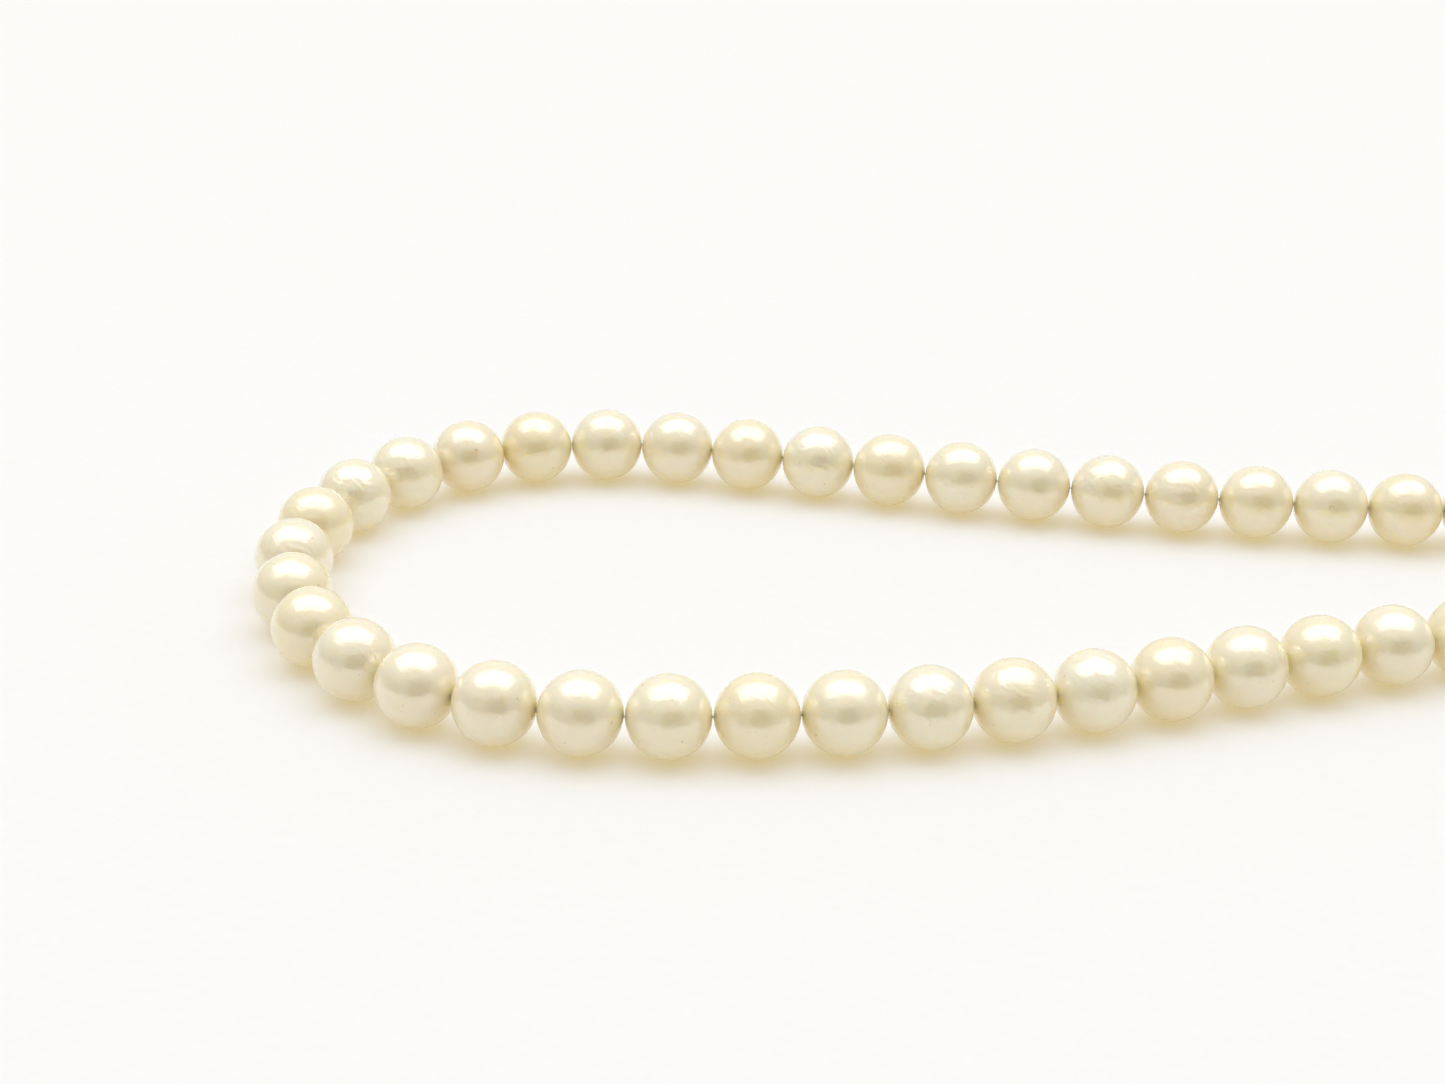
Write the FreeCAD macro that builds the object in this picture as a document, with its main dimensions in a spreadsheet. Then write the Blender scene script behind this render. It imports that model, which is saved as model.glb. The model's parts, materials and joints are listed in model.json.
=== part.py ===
import FreeCAD, Part
import math
import os
import Sketcher
from FreeCAD import Placement, Rotation, Vector

# A single-row necklace of 49 round pearls on one silk thread, closed by a magnetic
# ball clasp and laid flat as a long loop. Millimetres, +Z up, pearls resting on Z = 0.
# The origin is the middle of the loop's outline, and the clasp is at the +X end.

doc = FreeCAD.newDocument("pearl_necklace")

DRIVING_SIZES = [
    ("pearl_diameter", 8.0),
    ("pearl_gap", 0.15),
    ("bore_diameter", 0.9),
    ("thread_diameter", 0.36),
    ("thread_spacing", 0.4),  # between the two runs of thread inside an end pearl
    ("knot_diameter", 1.15),
    ("knot_gap", 1.2),  # between the last two pearls, where the knot sits
    ("knot_grip", 0.25),  # from the knot's middle to where the two runs of thread begin
    ("gimp_diameter", 0.8),
    ("gimp_bore", 0.5),
    ("gimp_standoff", 0.5),  # from the end pearl to the ends of the gimp
    ("loop_radius", 0.9),  # of the thread and gimp where they turn round the eye
    ("loop_reach", 1.65),  # from the end pearl to the middle of that turn
    ("eye_radius", 1.3),
    ("eye_wire", 0.7),
    ("ball_diameter", 8.0),
    ("ball_reach", 6.5),  # from the eye's wire to the flat face of its half ball
    ("ball_seam", 0.1),  # between the two flat faces when the clasp is closed
    ("magnet_diameter", 5.0),
    ("magnet_length", 2.0),
    ("spigot_diameter", 4.5),  # the plug's magnet, which enters the socket
    ("spigot_entry", 0.5),
]

sheet = doc.addObject("Spreadsheet::Sheet", "Sizes")
for row, (name, value) in enumerate(DRIVING_SIZES, start=1):
    sheet.set(f"A{row}", name)
    sheet.set(f"B{row}", str(value))
    sheet.setAlias(f"B{row}", name)
doc.recompute()

SIZE = {name: float(sheet.get(name)) for name, value in DRIVING_SIZES}

# How each half of the strand curves, from the pearl at the loop's rounded end to the
# clasp: the number of pearls, and how far they turn in all (degrees, left positive).
BACK_CURVE = [(5, -75.0), (2, -25.0), (3, -3.0), (7, 10.5), (4, 12.0)]
FRONT_CURVE = [(5, 75.5), (2, 16.5), (3, 9.0), (3, 9.0), (3, -2.0), (5, -25.0)]
CLOSING_PEARLS = 3  # the last pearls of each half, which bring it round to the clasp
BACK_HEADING = 90.0
FRONT_HEADING = -90.0
CLASP_HEADING = -90.0  # from the back half to the front half


def unit(heading):
    angle = math.radians(heading)
    return Vector(math.cos(angle), math.sin(angle), 0)


def bends_of(curve, closing_turn):
    """The turn at each pearl, in degrees, with the closing pearls added."""
    bends = []
    for count, turn in curve + [(CLOSING_PEARLS, closing_turn)]:
        bends += [turn / count] * count
    return bends


def lay_half(bends, heading):
    """The pearls of one half as (middle, heading), the points where the thread bends
    between them, and the clasp hinge. The loop's end pearl has its middle at 0, 0."""
    radius = SIZE["pearl_diameter"] / 2
    half_gaps = [SIZE["pearl_gap"] / 2] * (len(bends) - 1) + [SIZE["knot_gap"] / 2]
    point = unit(heading) * radius
    pearls = []
    hinges = []
    for bend, half_gap in zip(bends, half_gaps):
        hinges.append(point + unit(heading) * half_gap)
        heading += bend
        middle = hinges[-1] + unit(heading) * (half_gap + radius)
        pearls.append((middle, heading))
        point = middle + unit(heading) * radius
    hinges.append(point + unit(heading) * SIZE["loop_reach"])
    return pearls, hinges


def lay_both(turns):
    """Both halves for the two closing turns, and the gap left at the clasp."""
    back = lay_half(bends_of(BACK_CURVE, turns[0]), BACK_HEADING)
    front = lay_half(bends_of(FRONT_CURVE, turns[1]), FRONT_HEADING)
    clasp = unit(CLASP_HEADING) * (2 * SIZE["ball_reach"] + SIZE["ball_seam"])
    return back, front, front[1][-1] - (back[1][-1] + clasp)


def closing_turns():
    """The closing turn of each half that makes the two clasp halves meet."""
    turns = [-45.0, 35.0]
    step = 0.01
    for attempt in range(20):
        gap = lay_both(turns)[2]
        by_back = (lay_both([turns[0] + step, turns[1]])[2] - gap) * (1 / step)
        by_front = (lay_both([turns[0], turns[1] + step])[2] - gap) * (1 / step)
        area = by_back.x * by_front.y - by_front.x * by_back.y
        turns[0] -= (gap.x * by_front.y - by_front.x * gap.y) / area
        turns[1] -= (by_back.x * gap.y - gap.x * by_back.y) / area
    return turns


(back_pearls, back_hinges), (front_pearls, front_hinges), gap = lay_both(closing_turns())
if gap.Length > 1e-6:
    raise RuntimeError("the two halves do not meet at the clasp")

ball_middle = (back_hinges[-1] + front_hinges[-1]) * 0.5
round_pieces = [(Vector(0, 0, 0), SIZE["pearl_diameter"] / 2)]
round_pieces += [(middle, SIZE["pearl_diameter"] / 2) for middle, heading in back_pearls]
round_pieces += [(middle, SIZE["pearl_diameter"] / 2) for middle, heading in front_pearls]
round_pieces.append((ball_middle, SIZE["ball_diameter"] / 2))
lowest = Vector(
    min(middle.x - radius for middle, radius in round_pieces),
    min(middle.y - radius for middle, radius in round_pieces),
    0,
)
highest = Vector(
    max(middle.x + radius for middle, radius in round_pieces),
    max(middle.y + radius for middle, radius in round_pieces),
    0,
)
TO_ORIGIN = Vector(0, 0, SIZE["pearl_diameter"] / 2) - (lowest + highest) * 0.5


def at(point, heading=0.0):
    """A placement on the thread's level, with +X turned to the heading."""
    return Placement(point + TO_ORIGIN, Rotation(Vector(0, 0, 1), heading))


ALONG_X = Rotation(Vector(0, 1, 0), 90)
UPRIGHT_RING = Rotation(Vector(1, 0, 0), 90)
finished = []


def primitive(kind, name, sizes, rotation=Rotation(), x=None):
    """A Part primitive with its sizes, and the X of its base, bound to the sheet."""
    item = doc.addObject(f"Part::{kind}", name)
    item.Placement = Placement(Vector(0, 0, 0), rotation)
    for size, expression in sizes.items():
        item.setExpression(size, expression)
    if x is not None:
        item.setExpression("Placement.Base.x", x)
    return item


def cut(name, base, tool):
    item = doc.addObject("Part::Cut", name)
    item.Base = base
    item.Tool = tool
    return item


def fuse(name, pieces):
    item = doc.addObject("Part::MultiFuse", name)
    item.Shapes = pieces
    return item


def finish(item, name, place=None):
    """Marks a document object as one finished piece, to be written to its own file."""
    item.Label = name
    if place is not None:
        item.Placement = place
    finished.append(item)


def add_pearl(name, place):
    ball = primitive("Sphere", f"{name}_ball", {"Radius": "Sizes.pearl_diameter / 2"}, ALONG_X)
    bore = primitive(
        "Cylinder",
        f"{name}_bore",
        {"Radius": "Sizes.bore_diameter / 2", "Height": "Sizes.pearl_diameter"},
        ALONG_X,
        "-Sizes.pearl_diameter / 2",
    )
    finish(cut(name, ball, bore), name, place)


def add_loop_path(name, place):
    """The thread's path from a knot through the end pearl, round the clasp's eye and
    back. Edges 3 to 5 are the stretch that the gimp covers."""
    radius = SIZE["pearl_diameter"] / 2
    side = SIZE["thread_spacing"] / 2
    turn = SIZE["loop_radius"]
    turn_x = radius + SIZE["loop_reach"]
    sleeve_x = radius + SIZE["gimp_standoff"]
    knot_x = -radius - SIZE["knot_gap"] / 2 + SIZE["knot_grip"]
    sketch = doc.addObject("Sketcher::SketchObject", name)
    sketch.Placement = place
    corners = [(knot_x, side), (radius, side), (sleeve_x, 2 * side), (turn_x, turn)]
    for (x1, y1), (x2, y2) in zip(corners, corners[1:]):
        sketch.addGeometry(Part.LineSegment(Vector(x1, y1, 0), Vector(x2, y2, 0)))
    circle = Part.Circle(Vector(turn_x, 0, 0), Vector(0, 0, 1), turn)
    sketch.addGeometry(Part.ArcOfCircle(circle, -math.radians(120), math.radians(120)))
    for (x1, y1), (x2, y2) in zip(corners[::-1], corners[-2::-1]):
        sketch.addGeometry(Part.LineSegment(Vector(x1, -y1, 0), Vector(x2, -y2, 0)))
    start, end, middle, origin = 1, 2, 3, (-1, 1)
    sketch.addConstraint(
        [
            Sketcher.Constraint("Horizontal", 0),
            Sketcher.Constraint("Horizontal", 6),
            Sketcher.Constraint("Coincident", 0, end, 1, start),
            Sketcher.Constraint("Tangent", 1, end, 2, start),
            Sketcher.Constraint("Tangent", 2, end, 3, end),
            Sketcher.Constraint("Tangent", 3, start, 4, start),
            Sketcher.Constraint("Tangent", 4, end, 5, start),
            Sketcher.Constraint("Coincident", 5, end, 6, start),
            Sketcher.Constraint("PointOnObject", 3, middle, -1),
            Sketcher.Constraint("Symmetric", 0, start, 6, end, -1),
            Sketcher.Constraint("Vertical", 0, end, 5, end),
            Sketcher.Constraint("Vertical", 1, end, 4, end),
        ]
    )
    lengths = [
        ("DistanceY", (*origin, 0, start), side, "Sizes.thread_spacing / 2"),
        ("DistanceX", (0, start, *origin), -knot_x, "(Sizes.pearl_diameter + Sizes.knot_gap) / 2 - Sizes.knot_grip"),
        ("DistanceX", (*origin, 0, end), radius, "Sizes.pearl_diameter / 2"),
        ("DistanceX", (*origin, 1, end), sleeve_x, "Sizes.pearl_diameter / 2 + Sizes.gimp_standoff"),
        ("DistanceX", (*origin, 3, middle), turn_x, "Sizes.pearl_diameter / 2 + Sizes.loop_reach"),
        ("Radius", (3,), turn, "Sizes.loop_radius"),
    ]
    for kind, points, value, expression in lengths:
        index = sketch.addConstraint(Sketcher.Constraint(kind, *points, value))
        sketch.setExpression(f"Constraints[{index}]", expression)
    doc.recompute()
    return sketch


def add_sweep(name, diameter, path, edges):
    """A round bar along some edges of a path, its diameter bound to the sheet."""
    first = path.Shape.Edges[edges[0] - 1]
    begin, onward = first.Vertexes[0].Point, first.Vertexes[1].Point
    if len(edges) > 1:
        following = path.Shape.Edges[edges[1] - 1]
        if min((begin - corner.Point).Length for corner in following.Vertexes) < 1e-6:
            begin, onward = onward, begin
    profile = doc.addObject("Part::Circle", f"{name}_profile")
    profile.setExpression("Radius", f"Sizes.{diameter} / 2")
    profile.Placement = Placement(begin, Rotation(Vector(0, 0, 1), onward - begin))
    sweep = doc.addObject("Part::Sweep", name)
    sweep.Sections = [profile]
    sweep.Spine = (path, [f"Edge{edge}" for edge in edges])
    sweep.Solid = True
    sweep.Frenet = False
    sweep.Transition = "Right corner"
    return sweep


def add_knot(name, point, heading):
    """A round knot, turned so that the seam of its sphere is clear of the thread."""
    knot = primitive("Sphere", name, {"Radius": "Sizes.knot_diameter / 2"})
    knot.Placement = at(point, heading + 90)
    return knot


def add_clasp_half(name, place, magnet, magnet_length, pocket_depth, magnet_base):
    """A half ball with an eye, and the magnet in its pocket. The eye's wire crosses the
    local origin and the flat face looks along +X."""
    half_ball = primitive(
        "Sphere", f"{name}_half_ball", {"Radius": "Sizes.ball_diameter / 2"}, ALONG_X, "Sizes.ball_reach"
    )
    half_ball.Angle2 = 0
    eye = primitive(
        "Torus",
        f"{name}_eye",
        {"Radius1": "Sizes.eye_radius", "Radius2": "Sizes.eye_wire / 2"},
        UPRIGHT_RING,
        "Sizes.eye_radius",
    )
    pocket = primitive(
        "Cylinder",
        f"{name}_pocket",
        {"Radius": "Sizes.magnet_diameter / 2", "Height": pocket_depth},
        ALONG_X,
        f"Sizes.ball_reach - ({pocket_depth})",
    )
    body = fuse(f"{name}_body", [half_ball, eye])
    finish(cut(f"{name}_shell", body, pocket), f"{name}_shell", place)
    disc = primitive(
        "Cylinder",
        f"{name}_disc",
        {"Radius": f"Sizes.{magnet} / 2", "Height": magnet_length},
        ALONG_X,
        magnet_base,
    )
    holder = doc.addObject("Part::Compound", f"{name}_magnet_placed")
    holder.Links = [disc]
    finish(holder, f"{name}_magnet", place)


# The pearls, numbered from the rounded end of the loop to the clasp.
add_pearl("pearl_apex", at(Vector(0, 0, 0), BACK_HEADING))
for half, pearls in (("back", back_pearls), ("front", front_pearls)):
    for number, (middle, heading) in enumerate(pearls, start=1):
        add_pearl(f"pearl_{half}_{number:02d}", at(middle, heading))

# The thread runs from knot to knot and bends midway between the pearls. At each end it
# goes on round the clasp's eye inside the gimp and comes back to its knot.
bend_points = back_hinges[-2::-1] + front_hinges[:-1]
main_path = doc.addObject("Part::Polygon", "thread_path")
main_path.Nodes = [point + TO_ORIGIN for point in bend_points]
doc.recompute()
main_edges = list(range(1, len(bend_points)))
thread_pieces = [add_sweep("thread_run", "thread_diameter", main_path, main_edges)]
for half, pearls, hinges in (
    ("back", back_pearls, back_hinges),
    ("front", front_pearls, front_hinges),
):
    loop_path = add_loop_path(f"{half}_loop_path", at(*pearls[-1]))
    thread_pieces.append(
        add_sweep(f"{half}_thread_loop", "thread_diameter", loop_path, [1, 2, 3, 4, 5, 6, 7])
    )
    thread_pieces.append(add_knot(f"{half}_knot", hinges[-2], pearls[-1][1]))
    outside = add_sweep(f"{half}_gimp_outside", "gimp_diameter", loop_path, [3, 4, 5])
    inside = add_sweep(f"{half}_gimp_inside", "gimp_bore", loop_path, [3, 4, 5])
    finish(cut(f"gimp_{half}", outside, inside), f"gimp_{half}")
finish(fuse("silk_thread", thread_pieces), "silk_thread")

# The clasp: the socket on the back half, and the plug, whose magnet stands proud and
# enters the socket, on the front half.
add_clasp_half(
    "clasp_socket",
    at(back_hinges[-1], CLASP_HEADING),
    "magnet_diameter",
    "Sizes.magnet_length",
    "Sizes.magnet_length + Sizes.spigot_entry",
    "Sizes.ball_reach - Sizes.magnet_length - Sizes.spigot_entry",
)
add_clasp_half(
    "clasp_plug",
    at(front_hinges[-1], CLASP_HEADING + 180),
    "spigot_diameter",
    "Sizes.magnet_length + Sizes.spigot_entry + Sizes.ball_seam",
    "Sizes.magnet_length",
    "Sizes.ball_reach - Sizes.magnet_length",
)

doc.recompute()
for item in doc.Objects:
    if "Invalid" in item.State or "Error" in item.State:
        raise RuntimeError(f"{item.Label} did not build: {item.State}")
for item in finished:
    if item.Shape.isNull() or not item.Shape.isValid():
        raise RuntimeError(f"{item.Label} has no valid shape")

os.makedirs("parts", exist_ok=True)
for item in finished:
    item.Shape.exportStep(f"parts/{item.Label}.step")
print(len(finished), "pieces written")
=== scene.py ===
import json
import math
import random

import bpy
from mathutils import Matrix, Vector, noise

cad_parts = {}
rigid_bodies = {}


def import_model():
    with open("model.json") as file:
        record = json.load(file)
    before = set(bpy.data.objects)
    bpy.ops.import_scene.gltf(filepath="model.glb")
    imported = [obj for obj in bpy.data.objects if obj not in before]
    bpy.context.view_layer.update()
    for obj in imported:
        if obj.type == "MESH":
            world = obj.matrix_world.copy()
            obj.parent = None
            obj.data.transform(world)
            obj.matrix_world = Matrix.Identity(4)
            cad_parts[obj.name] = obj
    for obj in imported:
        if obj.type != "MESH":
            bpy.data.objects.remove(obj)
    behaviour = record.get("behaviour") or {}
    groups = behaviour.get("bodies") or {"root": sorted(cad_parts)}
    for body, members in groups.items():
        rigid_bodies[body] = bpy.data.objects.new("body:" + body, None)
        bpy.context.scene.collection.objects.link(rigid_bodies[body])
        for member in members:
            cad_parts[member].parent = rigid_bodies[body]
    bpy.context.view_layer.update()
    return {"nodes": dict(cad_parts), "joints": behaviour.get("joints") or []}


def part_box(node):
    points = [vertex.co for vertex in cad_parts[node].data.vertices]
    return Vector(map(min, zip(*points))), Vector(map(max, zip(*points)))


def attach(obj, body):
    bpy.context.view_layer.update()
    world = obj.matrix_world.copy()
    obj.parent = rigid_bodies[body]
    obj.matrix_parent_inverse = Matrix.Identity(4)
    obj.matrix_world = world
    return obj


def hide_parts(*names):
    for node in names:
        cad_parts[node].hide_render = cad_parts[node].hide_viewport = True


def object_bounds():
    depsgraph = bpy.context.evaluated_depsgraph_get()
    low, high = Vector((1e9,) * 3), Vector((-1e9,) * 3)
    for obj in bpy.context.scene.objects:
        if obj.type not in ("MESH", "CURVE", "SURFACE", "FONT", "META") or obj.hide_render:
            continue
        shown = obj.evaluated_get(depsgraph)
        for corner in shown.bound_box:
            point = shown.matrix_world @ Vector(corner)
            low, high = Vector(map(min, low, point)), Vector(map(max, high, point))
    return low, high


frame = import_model()

MM = 0.001
UP = Vector((0, 0, 1))

# pearls
CAD_PEARL_RADIUS = 4.0 * MM
WIDEST_RADIUS = 4.04 * MM
CLEARANCE = 0.003 * MM
BORE_RADIUS = 0.27 * MM
END_BORE_RADIUS = 0.45 * MM
BORE_ROWS = 4
BORE_REACH = 0.97
PEARL_SIDES = 104
PEARL_ROWS = 76
OUT_OF_ROUND = (0.002, 0.006)
PIT_COUNT = (2, 6)
PIT_WIDTH = (0.05, 0.1)
PIT_DEPTH = (0.006, 0.014)
RIM_WIDTH = 0.03
RIM_WEAR = 0.003
RIM_CHIPS = 0.006
RING_ANGLE = math.radians(14)
PEARL_SEED = 100
SHADE_SEED = 11

# thread, knots and the loops round the clasp's eyes
THREAD_RADIUS = 0.18 * MM
PLY_RADIUS = THREAD_RADIUS * 0.48
PLY_STEP = 0.16 * MM
PLY_TWIST = 1.3 * MM
PLY_SIDES = 7
KNOT_GAP = 1.2 * MM
KNOT_RING = 0.28 * MM
KNOT_LOBE = 0.14 * MM
KNOT_DEPTH = 1.15
KNOT_STRAND = 0.15 * MM
KNOT_STEPS = 90
KNOT_SIDES = 10
KNOT_GRIP = 0.25 * MM
RUN_SPACING = 0.4 * MM
LOOP_RADIUS = 0.9 * MM
LOOP_REACH = 1.65 * MM
LOOP_STEPS = 48

# French wire
GIMP_PITCH = 0.205 * MM
GIMP_TURN_STEPS = 12
GIMP_HELIX = 0.325 * MM
GIMP_WIRE = 0.066 * MM
GIMP_SIDES = 6
GIMP_STANDOFF = 0.5 * MM

joints = {joint["name"]: joint for joint in frame["joints"]}
HALVES = ("back", "front")
PEARLS_A_HALF = 24


# ---------------------------------------------------------------- camera

CAMERA_PLACE = Vector((-49.0, -228.7, 116.29)) * MM
CAMERA_LENS = 61.51
CAMERA_SENSOR = 36
CAMERA_PITCH = math.radians(25.561)
CAMERA_ROLL = math.radians(-1.616)
CAMERA_YAW = math.radians(-0.779)


def add_camera():
    """The photograph's viewpoint: a close, slightly tilted look down along the strand."""
    right = Vector((math.cos(CAMERA_YAW), math.sin(CAMERA_YAW), 0))
    level = Vector((-math.sin(CAMERA_YAW), math.cos(CAMERA_YAW), 0))
    ahead = level * math.cos(CAMERA_PITCH) - Vector((0, 0, math.sin(CAMERA_PITCH)))
    above = level * math.sin(CAMERA_PITCH) + Vector((0, 0, math.cos(CAMERA_PITCH)))
    cos_roll, sin_roll = math.cos(CAMERA_ROLL), math.sin(CAMERA_ROLL)
    x_axis = right * cos_roll - above * sin_roll
    y_axis = right * sin_roll + above * cos_roll
    turn = Matrix((x_axis, y_axis, -ahead)).transposed().to_4x4()
    data = bpy.data.cameras.new("camera")
    data.lens = CAMERA_LENS
    data.sensor_width = CAMERA_SENSOR
    data.clip_start = 0.005
    data.clip_end = 20
    camera = bpy.data.objects.new("camera", data)
    bpy.context.scene.collection.objects.link(camera)
    camera.matrix_world = Matrix.Translation(CAMERA_PLACE) @ turn
    bpy.context.scene.camera = camera


# ---------------------------------------------------------------- small helpers


def new_object(name, mesh):
    piece = bpy.data.objects.new(name, mesh)
    bpy.context.scene.collection.objects.link(piece)
    return piece


def mesh_from(name, vertices, faces):
    mesh = bpy.data.meshes.new(name)
    mesh.from_pydata([tuple(v) for v in vertices], [], faces)
    mesh.validate()
    mesh.shade_smooth()
    return mesh


def node(tree, kind, **settings):
    made = tree.nodes.new(kind)
    for key, value in settings.items():
        setattr(made, key, value)
    return made


def ramp(tree, source, stops):
    """A colour ramp on a source socket, from (position, colour) stops."""
    made = tree.nodes.new("ShaderNodeValToRGB")
    elements = made.color_ramp.elements
    while len(elements) < len(stops):
        elements.new(0.5)
    for element, (position, colour) in zip(elements, stops):
        element.position = position
        element.color = (*colour, 1)
    tree.links.new(source, made.inputs["Fac"])
    return made


def noise_texture(tree, coordinates, scale, detail, roughness, distortion=0.0):
    made = tree.nodes.new("ShaderNodeTexNoise")
    made.inputs["Scale"].default_value = scale
    made.inputs["Detail"].default_value = detail
    made.inputs["Roughness"].default_value = roughness
    made.inputs["Distortion"].default_value = distortion
    tree.links.new(coordinates, made.inputs["Vector"])
    return made


def mix_colour(tree, factor, first, second):
    """A colour mix whose three inputs may each be a socket or a plain value."""
    made = node(tree, "ShaderNodeMix", data_type="RGBA")
    # a colour mix's own sockets: its factor, A and B
    sockets = [made.inputs[0], made.inputs[6], made.inputs[7]]
    for socket, value in zip(sockets, (factor, first, second)):
        if isinstance(value, bpy.types.NodeSocket):
            tree.links.new(value, socket)
        elif isinstance(value, tuple):
            socket.default_value = (*value, 1)
        else:
            socket.default_value = value
    return made.outputs[2]


def new_material(name):
    material = bpy.data.materials.new(name)
    material.use_nodes = True
    tree = material.node_tree
    return material, tree, tree.nodes["Principled BSDF"]


# ---------------------------------------------------------------- materials


# golden tint round the bore ends: partly the nacre's own tone, partly painted warm light from
# touching neighbours
BORE_END_GOLD_AND_GLOW = (0.96, 0.80, 0.42)
SPECK_BROWN = (0.50, 0.34, 0.17)
BLACK = (0, 0, 0)


def nacre_material(name, pale, deep, blush, ringed):
    """Nacre: a cream body that lets light in, under a smooth lustrous skin."""
    material, tree, shader = new_material(name)
    place = node(tree, "ShaderNodeTexCoord")
    # each pearl reads its own part of the noise
    shift = node(tree, "ShaderNodeObjectInfo")
    offset = node(tree, "ShaderNodeVectorMath", operation="SCALE")
    offset.inputs[0].default_value = (0.31, 0.17, 0.23)
    tree.links.new(shift.outputs["Random"], offset.inputs["Scale"])
    moved = node(tree, "ShaderNodeVectorMath", operation="ADD")
    tree.links.new(place.outputs["Object"], moved.inputs[0])
    tree.links.new(offset.outputs[0], moved.inputs[1])
    body = moved.outputs[0]

    cloud = noise_texture(tree, body, scale=160.0, detail=3.0, roughness=0.5)
    cream = ramp(tree, cloud.outputs["Fac"], [(0.3, pale), (0.7, deep)])
    bloom = noise_texture(tree, body, scale=90.0, detail=2.0, roughness=0.45)
    blush_share = ramp(tree, bloom.outputs["Fac"], [(0.45, BLACK), (0.8, (0.6, 0.6, 0.6))])
    colour = mix_colour(tree, blush_share.outputs["Color"], cream.outputs["Color"], blush)
    # specks, mostly faint
    specks = noise_texture(tree, body, scale=1500.0, detail=2.0, roughness=0.5)
    speck_share = ramp(tree, specks.outputs["Fac"], [(0.71, BLACK), (0.78, (0.5, 0.5, 0.5))])
    colour = mix_colour(tree, speck_share.outputs["Color"], colour, SPECK_BROWN)
    # round the ends of the bore the nacre is less polished and golden: partly its own tone, partly
    # painted warm light passed between touching pearls
    ring = node(tree, "ShaderNodeAttribute", attribute_name="bore_end")
    colour = mix_colour(tree, ring.outputs["Fac"], colour, BORE_END_GOLD_AND_GLOW)
    tree.links.new(colour, shader.inputs["Base Color"])

    # satin underneath with slow changes, so the highlight's edge is uneven
    gloss = noise_texture(tree, body, scale=420.0, detail=4.0, roughness=0.6)
    gloss_range = node(tree, "ShaderNodeMapRange")
    gloss_range.inputs["To Min"].default_value = 0.14
    gloss_range.inputs["To Max"].default_value = 0.22
    tree.links.new(gloss.outputs["Fac"], gloss_range.inputs["Value"])
    worn = node(tree, "ShaderNodeMath", operation="MULTIPLY_ADD", use_clamp=True)
    tree.links.new(ring.outputs["Fac"], worn.inputs[0])
    worn.inputs[1].default_value = 0.2
    tree.links.new(gloss_range.outputs["Result"], worn.inputs[2])
    tree.links.new(worn.outputs[0], shader.inputs["Roughness"])

    shader.inputs["Subsurface Weight"].default_value = 1.0
    shader.inputs["Subsurface Radius"].default_value = (1.0, 0.78, 0.42)
    shader.inputs["Subsurface Scale"].default_value = 6.0 * MM
    shader.inputs["IOR"].default_value = 2.8
    shader.inputs["Coat Weight"].default_value = 1.0
    shader.inputs["Coat Roughness"].default_value = 0.06
    shader.inputs["Coat IOR"].default_value = 1.6
    shader.inputs["Sheen Weight"].default_value = 0.12
    shader.inputs["Sheen Roughness"].default_value = 0.4
    shader.inputs["Sheen Tint"].default_value = (1.0, 0.95, 0.84, 1)

    # nacre's fine terraces and growth lines, with a soft unevenness under them
    terraces = noise_texture(
        tree, body, scale=1700.0, detail=4.0, roughness=0.6, distortion=1.2
    )
    swell = noise_texture(tree, body, scale=420.0, detail=2.0, roughness=0.5)
    growth = node(tree, "ShaderNodeTexWave", wave_type="BANDS", bands_direction="DIAGONAL")
    tree.links.new(body, growth.inputs["Vector"])
    growth.inputs["Scale"].default_value = 330.0
    growth.inputs["Distortion"].default_value = 9.0
    growth.inputs["Detail"].default_value = 2.0
    growth.inputs["Detail Scale"].default_value = 1.4
    heights = node(tree, "ShaderNodeMath", operation="MULTIPLY_ADD")
    tree.links.new(swell.outputs["Fac"], heights.inputs[0])
    heights.inputs[1].default_value = 2.0
    lines = node(tree, "ShaderNodeMath", operation="MULTIPLY_ADD")
    tree.links.new(growth.outputs["Fac"], lines.inputs[0])
    lines.inputs[1].default_value = ringed
    tree.links.new(terraces.outputs["Fac"], lines.inputs[2])
    tree.links.new(lines.outputs[0], heights.inputs[2])
    bump = node(tree, "ShaderNodeBump")
    bump.inputs["Strength"].default_value = 0.7
    bump.inputs["Distance"].default_value = 0.045 * MM
    tree.links.new(heights.outputs[0], bump.inputs["Height"])
    tree.links.new(bump.outputs["Normal"], shader.inputs["Normal"])
    return material


def silk_material():
    material, tree, shader = new_material("silk_thread_fibre")
    place = node(tree, "ShaderNodeTexCoord")
    fibres = noise_texture(
        tree, place.outputs["Object"], scale=6000.0, detail=3.0, roughness=0.6
    )
    # the fibres' bump height also sets their colour: painted shade in the hollows, painted light
    # on the tops
    shaded_hollows, tops = (0.80, 0.74, 0.62), (0.93, 0.90, 0.82)
    shade = ramp(tree, fibres.outputs["Fac"], [(0.3, shaded_hollows), (0.7, tops)])
    tree.links.new(shade.outputs["Color"], shader.inputs["Base Color"])
    shader.inputs["Roughness"].default_value = 0.6
    shader.inputs["Sheen Weight"].default_value = 0.4
    bump = node(tree, "ShaderNodeBump")
    bump.inputs["Strength"].default_value = 0.5
    bump.inputs["Distance"].default_value = 0.01 * MM
    tree.links.new(fibres.outputs["Fac"], bump.inputs["Height"])
    tree.links.new(bump.outputs["Normal"], shader.inputs["Normal"])
    return material


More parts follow.
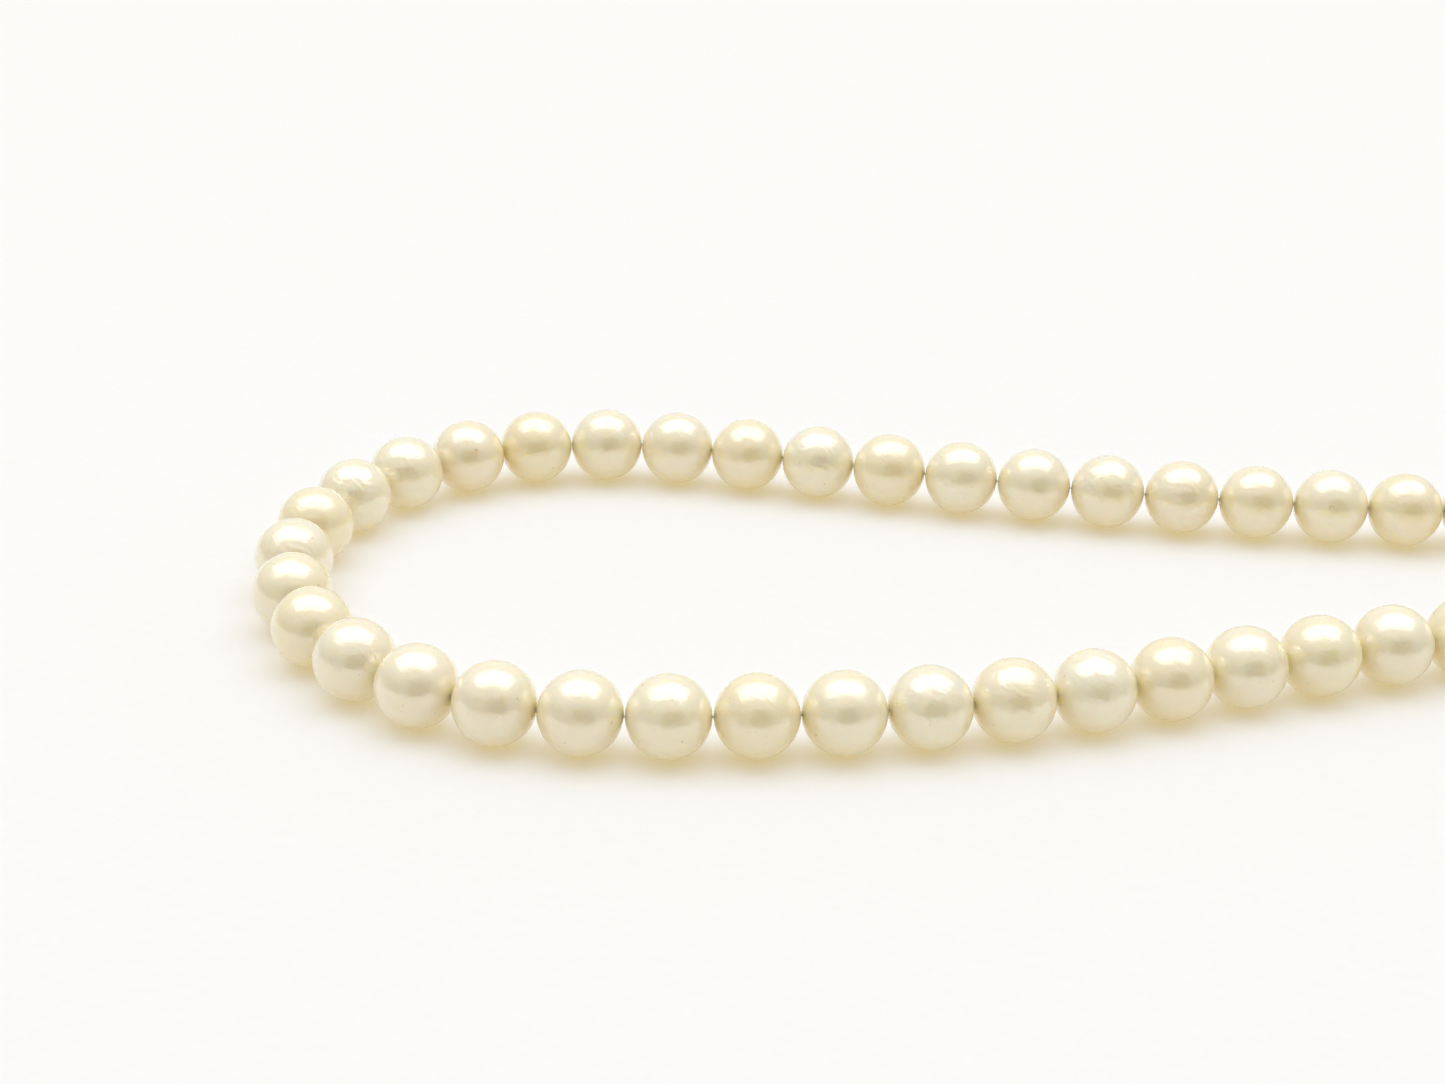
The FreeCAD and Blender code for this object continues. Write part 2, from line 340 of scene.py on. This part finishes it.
def metal_material(name, bright, dull, roughness, scale, scratches):
    """Plated metal with uneven polish and fine rubbing marks."""
    material, tree, shader = new_material(name)
    place = node(tree, "ShaderNodeTexCoord")
    tarnish = noise_texture(
        tree, place.outputs["Object"], scale=scale, detail=4.0, roughness=0.6
    )
    shade = ramp(tree, tarnish.outputs["Fac"], [(0.35, bright), (0.75, dull)])
    tree.links.new(shade.outputs["Color"], shader.inputs["Base Color"])
    shader.inputs["Metallic"].default_value = 1.0
    polish = noise_texture(
        tree, place.outputs["Object"], scale=scale * 6, detail=5.0, roughness=0.65
    )
    spread = node(tree, "ShaderNodeMapRange")
    spread.inputs["To Min"].default_value = roughness[0]
    spread.inputs["To Max"].default_value = roughness[1]
    tree.links.new(polish.outputs["Fac"], spread.inputs["Value"])
    tree.links.new(spread.outputs["Result"], shader.inputs["Roughness"])
    bump = node(tree, "ShaderNodeBump")
    bump.inputs["Strength"].default_value = scratches
    bump.inputs["Distance"].default_value = 0.01 * MM
    tree.links.new(polish.outputs["Fac"], bump.inputs["Height"])
    tree.links.new(bump.outputs["Normal"], shader.inputs["Normal"])
    return material


# ---------------------------------------------------------------- the strand's layout


def hinge_point(joint):
    return Vector(joint["pos_m"])


def cad_pearl(body):
    """The CAD node of the pearl on a body."""
    return f"pearl_{body}"


def middle_of(body):
    return sum(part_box(cad_pearl(body)), Vector()) / 2


def is_end_pearl(body):
    return body.endswith(f"_{PEARLS_A_HALF}")


def half_layout(half):
    """(body, hinge before it, hinge past it) of each pearl of one half."""
    chain = [joints[f"{half}_half_opens"]]
    chain += [joints[f"{half}_bend_{k:02d}"] for k in range(2, PEARLS_A_HALF + 1)]
    chain.append(joints["clasp_socket_swing" if half == "back" else "clasp_plug_swing"])
    points = [hinge_point(joint) for joint in chain]
    laid = []
    for k in range(PEARLS_A_HALF):
        body = f"{half}_{k + 1:02d}"
        end = points[k + 1]
        if is_end_pearl(body):
            # the next hinge is the clasp's, so the bore's direction comes from the pearl
            end = middle_of(body) * 2 - points[k]
        laid.append((body, points[k], end))
    return laid


def radii():
    """Each pearl's radius: as wide as leaves its neighbours free through their whole bend."""
    widest = {}
    for joint in joints.values():
        if joint["child"].startswith("clasp"):
            continue
        near, far = middle_of(joint["parent"]), middle_of(joint["child"])
        hinge = hinge_point(joint)
        bend = Matrix.Rotation(math.radians(joint["range_deg"][1]), 3, Vector(joint["axis"]))
        bent = hinge + bend @ (far - hinge)
        room = min((far - near).length, (bent - near).length) / 2 - CLEARANCE
        for body in (joint["parent"], joint["child"]):
            widest[body] = min(widest.get(body, WIDEST_RADIUS), room)
    return widest


def pearl_mesh(name, middle, along, size, bore, seed):
    """A drilled pearl, slightly out of round, with pits and a worn rim at each end of its bore."""
    draw = random.Random(seed)
    side = UP.cross(along).normalized()
    above = along.cross(side)
    lobes = Vector((draw.random(), draw.random(), draw.random())) * 40
    swell = draw.uniform(*OUT_OF_ROUND)
    pits = []
    for _ in range(draw.randint(*PIT_COUNT)):
        way = Vector((draw.gauss(0, 1), draw.gauss(0, 1), draw.gauss(0, 1))).normalized()
        pits.append((way, draw.uniform(*PIT_WIDTH), draw.uniform(*PIT_DEPTH)))
    around, rows = PEARL_SIDES, PEARL_ROWS
    edge = math.asin(bore / size)
    vertices = []
    for row in range(rows + 1):
        angle = edge + (math.pi - 2 * edge) * row / rows
        for step in range(around):
            turn = math.tau * step / around
            way = (
                along * math.cos(angle)
                + side * math.sin(angle) * math.cos(turn)
                + above * math.sin(angle) * math.sin(turn)
            )
            radius = 1 - swell * (0.5 + 0.5 * noise.noise(way * 1.3 + lobes))
            for pit, width, depth in pits:
                far = (way - pit).length / width
                radius -= depth * math.exp(-far * far * 2)
            from_rim = min(angle - edge, math.pi - edge - angle)
            chip = 0.5 + 0.5 * noise.noise(way * 14 + lobes)
            radius -= (RIM_WEAR + RIM_CHIPS * chip) * math.exp(-(from_rim / RIM_WIDTH) ** 2)
            vertices.append(middle + way * radius * size)
    # the bore's wall, from rim to rim
    inner = []
    for row in range(BORE_ROWS + 1):
        for step in range(around):
            turn = math.tau * step / around
            reach = math.cos(edge) * BORE_REACH * (1 - 2 * row / BORE_ROWS)
            way = side * math.cos(turn) + above * math.sin(turn)
            inner.append(middle + along * reach * size + way * bore)
    skin = len(vertices)
    vertices += inner
    # how near each point is to an end of the bore, from 0 to 1; the nacre uses it for a duller
    # polish and a golden tint that is partly painted warm light
    rings = []
    for row in range(rows + 1):
        angle = edge + (math.pi - 2 * edge) * row / rows
        from_end = min(angle, math.pi - angle)
        rings += [math.exp(-((from_end / RING_ANGLE) ** 2))] * around
    rings += [1.0] * len(inner)
    faces = []
    for row in range(rows):
        for step in range(around):
            a = row * around + step
            b = row * around + (step + 1) % around
            faces.append((a, a + around, b + around, b))
    for row in range(BORE_ROWS):
        for step in range(around):
            a = skin + row * around + step
            b = skin + row * around + (step + 1) % around
            faces.append((a, b, b + around, a + around))
    for step in range(around):
        following = (step + 1) % around
        faces.append((step, following, skin + following, skin + step))
        a, b = rows * around + step, rows * around + following
        c, d = skin + BORE_ROWS * around + step, skin + BORE_ROWS * around + following
        faces.append((a, c, d, b))
    mesh = mesh_from(name, vertices, faces)
    shares = mesh.attributes.new("bore_end", "FLOAT", "POINT")
    shares.data.foreach_set("value", rings)
    return mesh


# ---------------------------------------------------------------- thread and wire


def along_path(corners, step):
    """Even points along a polyline, with the heading at each."""
    lengths = [(b - a).length for a, b in zip(corners, corners[1:])]
    total = sum(lengths)
    count = max(2, round(total / step))
    placed = []
    leg, before = 0, 0.0
    for k in range(count + 1):
        far = total * k / count
        while leg < len(lengths) - 1 and far > before + lengths[leg]:
            before += lengths[leg]
            leg += 1
        a, b = corners[leg], corners[leg + 1]
        share = (far - before) / lengths[leg]
        placed.append((a.lerp(b, share), (b - a).normalized(), far))
    return placed


def tube(vertices, faces, line, radius, sides, taper=0):
    """Add a closed tube along a line of points, with its last taper rings rounded in."""
    first = len(vertices)
    count = len(line)
    across = None
    for k, point in enumerate(line):
        ahead = (line[min(k + 1, count - 1)] - line[max(k - 1, 0)]).normalized()
        if across is None:
            across = ahead.orthogonal().normalized()
        across = (across - ahead * across.dot(ahead)).normalized()
        other = ahead.cross(across)
        from_end = min(k, count - 1 - k)
        size = radius
        if from_end < taper:
            size *= math.sqrt(1 - ((taper - from_end) / (taper + 0.35)) ** 2)
        for step in range(sides):
            turn = math.tau * step / sides
            vertices.append(point + (across * math.cos(turn) + other * math.sin(turn)) * size)
    for k in range(count - 1):
        for step in range(sides):
            a = first + k * sides + step
            b = first + k * sides + (step + 1) % sides
            faces.append((a, b, b + sides, a + sides))
    faces.append(tuple(first + step for step in reversed(range(sides))))
    last = first + (count - 1) * sides
    faces.append(tuple(last + step for step in range(sides)))


def plied(name, corners):
    """Silk of three plies twisted round a level path."""
    offset = THREAD_RADIUS - PLY_RADIUS
    vertices, faces = [], []
    placed = along_path(corners, PLY_STEP)
    for ply in range(3):
        line = []
        for k, (point, ahead, far) in enumerate(placed):
            side = UP.cross(ahead).normalized()
            turn = math.tau * (far / PLY_TWIST + ply / 3)
            # the plies close up at the two ends
            spread = offset * min(1.0, 0.3 + min(k, len(placed) - 1 - k) * 0.35)
            line.append(point + (side * math.cos(turn) + UP * math.sin(turn)) * spread)
        tube(vertices, faces, line, PLY_RADIUS, PLY_SIDES, taper=2)
    return mesh_from(name, vertices, faces)


def knot_mesh(name, middle, ahead):
    """An overhand knot drawn tight: a trefoil of thread."""
    side = UP.cross(ahead).normalized()
    vertices, faces = [], []
    line = []
    for k in range(KNOT_STEPS + 1):
        t = math.tau * k / KNOT_STEPS
        reach = KNOT_RING + KNOT_LOBE * math.cos(3 * t)
        line.append(
            middle
            + side * reach * math.cos(2 * t)
            + UP * reach * math.sin(2 * t)
            + ahead * KNOT_LOBE * KNOT_DEPTH * math.sin(3 * t)
        )
    tube(vertices, faces, line, KNOT_STRAND, KNOT_SIDES)
    return mesh_from(name, vertices, faces)


def end_loop(middle, ahead):
    """The thread's path from the knot through the end pearl, round the clasp's eye and back."""
    side = UP.cross(ahead)
    start_x = -CAD_PEARL_RADIUS - KNOT_GAP / 2 + KNOT_GRIP
    turn_x = CAD_PEARL_RADIUS + LOOP_REACH
    half = RUN_SPACING / 2
    to_middle = Vector((turn_x - CAD_PEARL_RADIUS, -half))
    lean = math.asin(LOOP_RADIUS / to_middle.length) + math.atan2(-half, to_middle.x)
    # the arc is met where its radius stands square to the leaning run
    meet = lean + math.pi / 2
    flat = [(start_x, half), (CAD_PEARL_RADIUS, half)]
    for k in range(LOOP_STEPS + 1):
        turn = meet - 2 * meet * k / LOOP_STEPS
        flat.append((turn_x + LOOP_RADIUS * math.cos(turn), LOOP_RADIUS * math.sin(turn)))
    flat += [(CAD_PEARL_RADIUS, -half), (start_x, -half)]
    return [middle + ahead * x + side * y for x, y in flat]


def gimp_mesh(name, middle, ahead):
    """French wire: a close helix of fine wire round the part of the loop past the pearl."""
    sleeve_x = CAD_PEARL_RADIUS + GIMP_STANDOFF
    path = end_loop(middle, ahead)

    def depth(point):
        return (point - middle).dot(ahead)

    covered = []
    for a, b in zip(path, path[1:]):
        low, high = sorted((depth(a), depth(b)))
        if high <= sleeve_x:
            continue
        if low < sleeve_x:
            cut = a.lerp(b, (sleeve_x - depth(a)) / (depth(b) - depth(a)))
            covered += [cut] if depth(a) < sleeve_x else [a, cut]
        else:
            covered.append(a)
    placed = along_path(covered, GIMP_PITCH / GIMP_TURN_STEPS)
    line = []
    for point, onward, far in placed:
        side = UP.cross(onward)
        turn = math.tau * far / GIMP_PITCH
        line.append(point + (side * math.cos(turn) + UP * math.sin(turn)) * GIMP_HELIX)
    vertices, faces = [], []
    tube(vertices, faces, line, GIMP_WIRE, GIMP_SIDES)
    return mesh_from(name, vertices, faces)


# ---------------------------------------------------------------- build

add_camera()

# (pale, deep, blush) of four close shades of cream, and how strongly growth lines show
SHADES = [
    ((0.950, 0.806, 0.585), (0.930, 0.768, 0.515), (0.950, 0.772, 0.605), 0.25),
    ((0.945, 0.797, 0.560), (0.925, 0.760, 0.490), (0.945, 0.763, 0.580), 0.6),
    ((0.955, 0.812, 0.600), (0.935, 0.775, 0.530), (0.950, 0.778, 0.625), 0.8),
    ((0.940, 0.788, 0.535), (0.920, 0.752, 0.465), (0.940, 0.758, 0.555), 0.3),
]
nacres = [
    nacre_material(f"nacre_{k + 1}", pale, deep, blush, ringed)
    for k, (pale, deep, blush, ringed) in enumerate(SHADES)
]

laid = [("apex", hinge_point(joints["front_half_opens"]), hinge_point(joints["back_half_opens"]))]
for half in HALVES:
    laid += half_layout(half)

choose = random.Random(SHADE_SEED)
widest = radii()
for number, (body, start, end) in enumerate(laid):
    name = f"nacre_{cad_pearl(body)}"
    bore = END_BORE_RADIUS if is_end_pearl(body) else BORE_RADIUS
    along = (end - start).normalized()
    mesh = pearl_mesh(name, middle_of(body), along, widest[body], bore, PEARL_SEED + number)
    # the first shade is twice as common as the others
    mesh.materials.append(nacres[choose.choice((0, 0, 1, 2, 3))])
    piece = new_object(name, mesh)
    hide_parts(cad_pearl(body))
    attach(piece, body)

silk = silk_material()
silver = metal_material(
    "plated_silver",
    bright=(0.86, 0.85, 0.83),
    dull=(0.72, 0.71, 0.69),
    roughness=(0.12, 0.3),
    scale=300.0,
    scratches=0.25,
)
wire = metal_material(
    "french_wire",
    bright=(0.86, 0.84, 0.80),
    dull=(0.70, 0.67, 0.62),
    roughness=(0.2, 0.36),
    scale=900.0,
    scratches=0.3,
)
magnet = metal_material(
    "plated_magnet",
    bright=(0.66, 0.66, 0.67),
    dull=(0.52, 0.52, 0.53),
    roughness=(0.18, 0.34),
    scale=500.0,
    scratches=0.3,
)


def add_silk(name, mesh, body):
    mesh.materials.append(silk)
    piece = new_object(name, mesh)
    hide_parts("silk_thread")
    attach(piece, body)


# the thread bends only between pearls, so each pearl carries its own run of it
for body, start, end in laid:
    if not is_end_pearl(body):
        add_silk(f"silk_run_{body}", plied(f"silk_run_{body}", [start, end]), body)
        continue
    half = body.split("_")[0]
    middle = middle_of(body)
    ahead = (middle - start).normalized()
    add_silk(f"silk_knot_{half}", knot_mesh(f"silk_knot_{half}", start, ahead), body)
    add_silk(f"silk_loop_{half}", plied(f"silk_loop_{half}", end_loop(middle, ahead)), body)
    coil = new_object(f"french_wire_{half}", gimp_mesh(f"french_wire_{half}", middle, ahead))
    coil.data.materials.append(wire)
    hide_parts(f"gimp_{half}")
    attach(coil, body)

for name, made in (
    ("clasp_socket_shell", silver),
    ("clasp_plug_shell", silver),
    ("clasp_socket_magnet", magnet),
    ("clasp_plug_magnet", magnet),
):
    piece = frame["nodes"][name]
    piece.data.materials.clear()
    piece.data.materials.append(made)


# ---------------------------------------------------------------- floor and light


TABLE_HALF_SIDE = 20
TABLE_DROP = 0.02 * MM
TABLE_DARK = (0.452, 0.524, 0.666)
TABLE_LIGHT = (0.468, 0.540, 0.682)
TABLE_GLOW = (0.42, 0.33, 0.15)


def table_material():
    """Slightly cool white, with a warm glow that stands in for light from the pearls.

    Real pearls let light through onto the table, so their shadows are light and golden.
    """
    material, tree, shader = new_material("white_table")
    place = node(tree, "ShaderNodeTexCoord")
    grain = noise_texture(
        tree, place.outputs["Object"], scale=900.0, detail=4.0, roughness=0.6
    )
    tone = ramp(tree, grain.outputs["Fac"], [(0.3, TABLE_DARK), (0.7, TABLE_LIGHT)])
    tree.links.new(tone.outputs["Color"], shader.inputs["Base Color"])
    shader.inputs["Roughness"].default_value = 0.75
    shader.inputs["Specular IOR Level"].default_value = 0.2
    shader.inputs["Emission Color"].default_value = (*TABLE_GLOW, 1)
    shader.inputs["Emission Strength"].default_value = 1.0
    return material


def add_table():
    side = TABLE_HALF_SIDE
    mesh = bpy.data.meshes.new("table")
    corners = [(-side, -side, 0), (side, -side, 0), (side, side, 0), (-side, side, 0)]
    mesh.from_pydata(corners, [], [(0, 1, 2, 3)])
    mesh.materials.append(table_material())
    table = new_object("table", mesh)
    table.location = (0, 0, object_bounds()[0].z - TABLE_DROP)


add_table()

# ---------------------------------------------------------------- the light tent


def direction_patch(tree, direction, centre, right, half_width, half_height, edge):
    """A soft rectangle of sky about a centre direction, as a socket from 0 outside to 1 inside."""
    above = right.cross(centre)

    def dot(axis):
        made = node(tree, "ShaderNodeVectorMath", operation="DOT_PRODUCT")
        tree.links.new(direction, made.inputs[0])
        made.inputs[1].default_value = axis
        return made.outputs["Value"]

    def math_node(operation, *values):
        made = node(tree, "ShaderNodeMath", operation=operation)
        for socket, value in zip(made.inputs, values):
            if isinstance(value, bpy.types.NodeSocket):
                tree.links.new(value, socket)
            else:
                socket.default_value = value
        return made.outputs[0]

    ahead = math_node("MAXIMUM", dot(centre), 0.001)
    shares = []
    for axis, half in ((right, half_width), (above, half_height)):
        away = math_node("ABSOLUTE", math_node("DIVIDE", dot(axis), ahead))
        fade = node(tree, "ShaderNodeMapRange", interpolation_type="SMOOTHSTEP")
        tree.links.new(away, fade.inputs["Value"])
        fade.inputs["From Min"].default_value = half * (1 - edge)
        fade.inputs["From Max"].default_value = half * (1 + edge)
        fade.inputs["To Min"].default_value = 1.0
        fade.inputs["To Max"].default_value = 0.0
        shares.append(fade.outputs["Result"])
    return math_node("MULTIPLY", shares[0], shares[1])


def heading(azimuth, elevation):
    """The unit vector towards a place round the object: azimuth 0 is the camera's side."""
    a, e = math.radians(azimuth), math.radians(elevation)
    return Vector((math.sin(a) * math.cos(e), -math.cos(a) * math.cos(e), math.sin(e)))


scene = bpy.context.scene
world = bpy.data.worlds.new("light_tent")
scene.world = world
world.use_nodes = True
sky = world.node_tree
background = sky.nodes["Background"]
toward = node(sky, "ShaderNodeTexCoord").outputs["Generated"]
# from the tent's dimmer front to its brighter top and back
TENT_BRIGHTENS = (0, 0.42, 1)
TENT_LOW = (0.42, 0.42, 0.415)
TENT_HIGH = (0.84, 0.84, 0.85)
PANEL = (2.35, 2.35, 2.34)
OPENING = (0.14, 0.13, 0.12)
OPENING_AZIMUTH = 12
# the bright panel overhead that makes the pearls' highlights
panel = direction_patch(
    sky,
    toward,
    centre=heading(0, 102),
    right=Vector((1, 0, 0)),
    half_width=0.84,
    half_height=0.45,
    edge=0.16,
)
# the tent's dark opening, where the camera looks in
opening_turn = math.radians(OPENING_AZIMUTH)
opening = direction_patch(
    sky,
    toward,
    centre=heading(OPENING_AZIMUTH, 23),
    right=Vector((math.cos(opening_turn), math.sin(opening_turn), 0)),
    half_width=0.52,
    half_height=0.36,
    edge=0.35,
)
lift = node(sky, "ShaderNodeVectorMath", operation="DOT_PRODUCT")
sky.links.new(toward, lift.inputs[0])
lift.inputs[1].default_value = TENT_BRIGHTENS
lift_share = node(sky, "ShaderNodeMapRange", interpolation_type="SMOOTHSTEP")
sky.links.new(lift.outputs["Value"], lift_share.inputs["Value"])
lift_share.inputs["From Min"].default_value = 0.05
lift_share.inputs["From Max"].default_value = 0.75
tent = mix_colour(sky, lift_share.outputs["Result"], TENT_LOW, TENT_HIGH)
colour = mix_colour(sky, opening, tent, OPENING)
colour = mix_colour(sky, panel, colour, PANEL)
sky.links.new(colour, background.inputs["Color"])
background.inputs["Strength"].default_value = 1.0
scene.view_settings.view_transform = "Standard"
scene.view_settings.look = "None"
